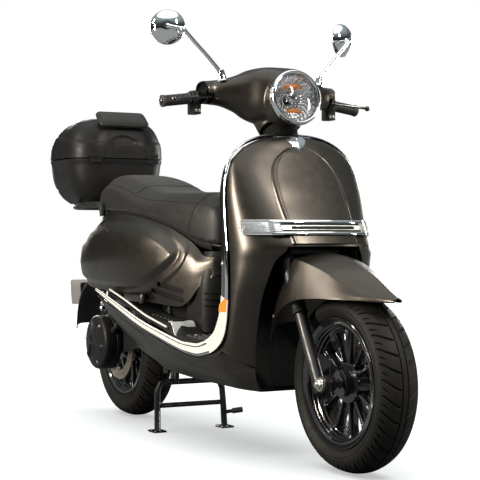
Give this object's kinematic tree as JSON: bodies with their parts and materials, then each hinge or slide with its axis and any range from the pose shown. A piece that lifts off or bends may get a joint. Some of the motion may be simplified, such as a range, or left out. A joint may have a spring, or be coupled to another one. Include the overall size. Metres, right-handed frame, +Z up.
{
  "type": "moped scooter",
  "caption": "Step-through electric moped scooter on a centre stand, with a leg shield, flat floor, long seat, hub motor, rear rack and top case.",
  "frame": {"origin": "on the ground, midway between the front tyre's foremost point and the top case's rear, on the centre plane", "axes": "+X forward, +Y the rider's left, +Z up; the ground is Z = 0"},
  "size_m": [2.047, 0.6754, 1.264],
  "materials": {
    "body_paint": "satin metallic paint",
    "chrome": "polished",
    "tyre": "moulded",
    "rubber": "moulded",
    "gloss_black_alloy": "gloss black",
    "painted_steel": "gloss black",
    "cast_alloy": "cast, dark",
    "disc_steel": "ground",
    "seat_cover": "matte vinyl",
    "clear_lens": "clear",
    "black_plastic": "fine grain"
  },
  "bodies": {
    "chassis": {"main_frame": "painted_steel", "rear_rack": "painted_steel", "front_shield": "body_paint", "nose_panel": "body_paint", "inner_leg_shield": "black_plastic", "wheel_well_liner": "black_plastic", "shield_trim": "chrome", "indicator_bar": "chrome", "floorboard": "black_plastic", "belly_fairing": "body_paint", "side_cowl_right": "body_paint", "side_cowl_left": "body_paint", "battery_cover": "black_plastic", "tail_panel": "body_paint", "under_seat_bucket": "black_plastic", "battery_pack": "black_plastic", "rear_mudguard": "black_plastic", "case_base": "black_plastic"},
    "steering": {"fork_upper": "painted_steel", "front_mudguard": "body_paint", "handlebar": "painted_steel", "headset_cover": "body_paint", "headlight_bezel": "chrome", "headlight_lens": "clear_lens", "left_grip": "rubber", "mirror_stem_right": "chrome", "mirror_stem_left": "chrome"},
    "fork": {"fork_slider_right": "cast_alloy", "fork_slider_left": "cast_alloy", "front_caliper": "cast_alloy"},
    "front_wheel": {"front_tyre": "tyre", "front_rim": "gloss_black_alloy", "front_disc": "disc_steel"},
    "throttle": {"throttle_grip": "rubber"},
    "lever_right": {"brake_lever_right": "cast_alloy"},
    "lever_left": {"brake_lever_left": "cast_alloy"},
    "mirror_right": {"mirror_head_right": "chrome"},
    "mirror_left": {"mirror_head_left": "chrome"},
    "start_switch": {"start_button": "black_plastic"},
    "horn_switch": {"horn_button": "black_plastic"},
    "swingarm": {"swingarm": "painted_steel", "motor_housing": "cast_alloy", "rear_caliper": "cast_alloy"},
    "rear_wheel": {"rear_tyre": "tyre", "rear_rim": "gloss_black_alloy", "rear_disc": "disc_steel"},
    "shock_upper": {"shock_upper_right": "disc_steel", "shock_upper_left": "disc_steel", "shock_spring_right": "chrome", "shock_spring_left": "chrome"},
    "shock_lower": {"shock_lower_right": "disc_steel", "shock_lower_left": "disc_steel"},
    "centre_stand": {"centre_stand": "painted_steel"},
    "side_stand": {"side_stand": "painted_steel"},
    "seat": {"seat_base": "black_plastic", "seat_cushion": "seat_cover"},
    "case_lid": {"case_lid": "black_plastic", "case_pad": "seat_cover"},
    "peg_right": {"footpeg_right": "cast_alloy"},
    "peg_left": {"footpeg_left": "cast_alloy"}
  },
  "joints": [
    {"name": "steering_turn", "type": "hinge", "parent": "chassis", "child": "steering", "pos_m": [0.4932, 0, 0.7327], "axis": [-0.454, 0, 0.891], "range_deg": [-28, 28]},
    {"name": "fork_travel", "type": "slide", "parent": "steering", "child": "fork", "axis": [-0.454, 0, 0.891], "range_m": [0, 0.055], "stiffness_N_per_m": 9000, "springref_m": -0.06},
    {"name": "front_wheel_spin", "type": "hinge", "parent": "fork", "child": "front_wheel", "pos_m": [0.787, 0, 0.2365], "axis": [0, 1, 0], "continuous": true},
    {"name": "throttle_turn", "type": "hinge", "parent": "steering", "child": "throttle", "pos_m": [0.307, -0.215, 1.014], "axis": [-0.055, -0.9902, -0.1284], "range_deg": [0, 70], "stiffness_Nm_per_rad": 0.4, "springref_deg": -34.38},
    {"name": "right_lever_pull", "type": "hinge", "parent": "steering", "child": "lever_right", "pos_m": [0.343, -0.186, 1.0145], "axis": [0, 0.1045, -0.9945], "range_deg": [0, 15], "stiffness_Nm_per_rad": 2, "springref_deg": -14.32},
    {"name": "left_lever_pull", "type": "hinge", "parent": "steering", "child": "lever_left", "pos_m": [0.343, 0.186, 1.0145], "axis": [0, 0.1045, 0.9945], "range_deg": [0, 15], "stiffness_Nm_per_rad": 2, "springref_deg": -14.32},
    {"name": "right_mirror_turn", "type": "hinge", "parent": "steering", "child": "mirror_right", "pos_m": [0.34, -0.273, 1.199], "axis": [0, 0, 1], "range_deg": [-20, 20]},
    {"name": "left_mirror_turn", "type": "hinge", "parent": "steering", "child": "mirror_left", "pos_m": [0.34, 0.273, 1.199], "axis": [0, 0, 1], "range_deg": [-20, 20]},
    {"name": "start_press", "type": "slide", "parent": "steering", "child": "start_switch", "axis": [1, 0, 0], "range_m": [0, 0.002], "stiffness_N_per_m": 500, "springref_m": -0.002},
    {"name": "horn_press", "type": "slide", "parent": "steering", "child": "horn_switch", "axis": [1, 0, 0], "range_m": [0, 0.002], "stiffness_N_per_m": 500, "springref_m": -0.002},
    {"name": "rear_suspension", "type": "hinge", "parent": "chassis", "child": "swingarm", "pos_m": [-0.263, 0, 0.285], "axis": [0, 1, 0], "range_deg": [0, 8], "stiffness_Nm_per_rad": 600, "springref_deg": -20.05},
    {"name": "rear_wheel_spin", "type": "hinge", "parent": "swingarm", "child": "rear_wheel", "pos_m": [-0.593, 0, 0.2365], "axis": [0, 1, 0], "continuous": true},
    {"name": "shock_tilt", "type": "hinge", "parent": "chassis", "child": "shock_upper", "pos_m": [-0.493, 0, 0.6], "axis": [0, 1, 0], "range_deg": [-4, 1]},
    {"name": "shock_slide", "type": "slide", "parent": "shock_upper", "child": "shock_lower", "axis": [0.1557, 0, 0.9878], "range_m": [-0.001, 0.04], "deforming": ["shock_spring_right", "shock_spring_left"]},
    {"name": "centre_stand_fold", "type": "hinge", "parent": "chassis", "child": "centre_stand", "pos_m": [-0.153, 0, 0.205], "axis": [0, 1, 0], "range_deg": [0, 75]},
    {"name": "side_stand_swing", "type": "hinge", "parent": "chassis", "child": "side_stand", "pos_m": [0.037, 0.134, 0.228], "axis": [0, -1, 0], "range_deg": [0, 95], "stiffness_Nm_per_rad": 0.6, "springref_deg": -114.59},
    {"name": "seat_open", "type": "hinge", "parent": "chassis", "child": "seat", "pos_m": [0.159, 0, 0.592], "axis": [0, 1, 0], "range_deg": [0, 70]},
    {"name": "case_open", "type": "hinge", "parent": "chassis", "child": "case_lid", "pos_m": [-0.684, 0, 0.896], "axis": [0, 1, 0], "range_deg": [0, 95]},
    {"name": "right_peg_fold", "type": "hinge", "parent": "chassis", "child": "peg_right", "pos_m": [-0.118, -0.19, 0.392], "axis": [0, 0, 1], "range_deg": [0, 85]},
    {"name": "left_peg_fold", "type": "hinge", "parent": "chassis", "child": "peg_left", "pos_m": [-0.118, 0.19, 0.392], "axis": [0, 0, -1], "range_deg": [0, 85]}
  ],
  "couplings": [
    {"joint": "shock_tilt", "follows": "rear_suspension", "ratio": -0.34},
    {"joint": "shock_slide", "follows": "rear_suspension", "m_per_rad": 0.27}
  ]
}
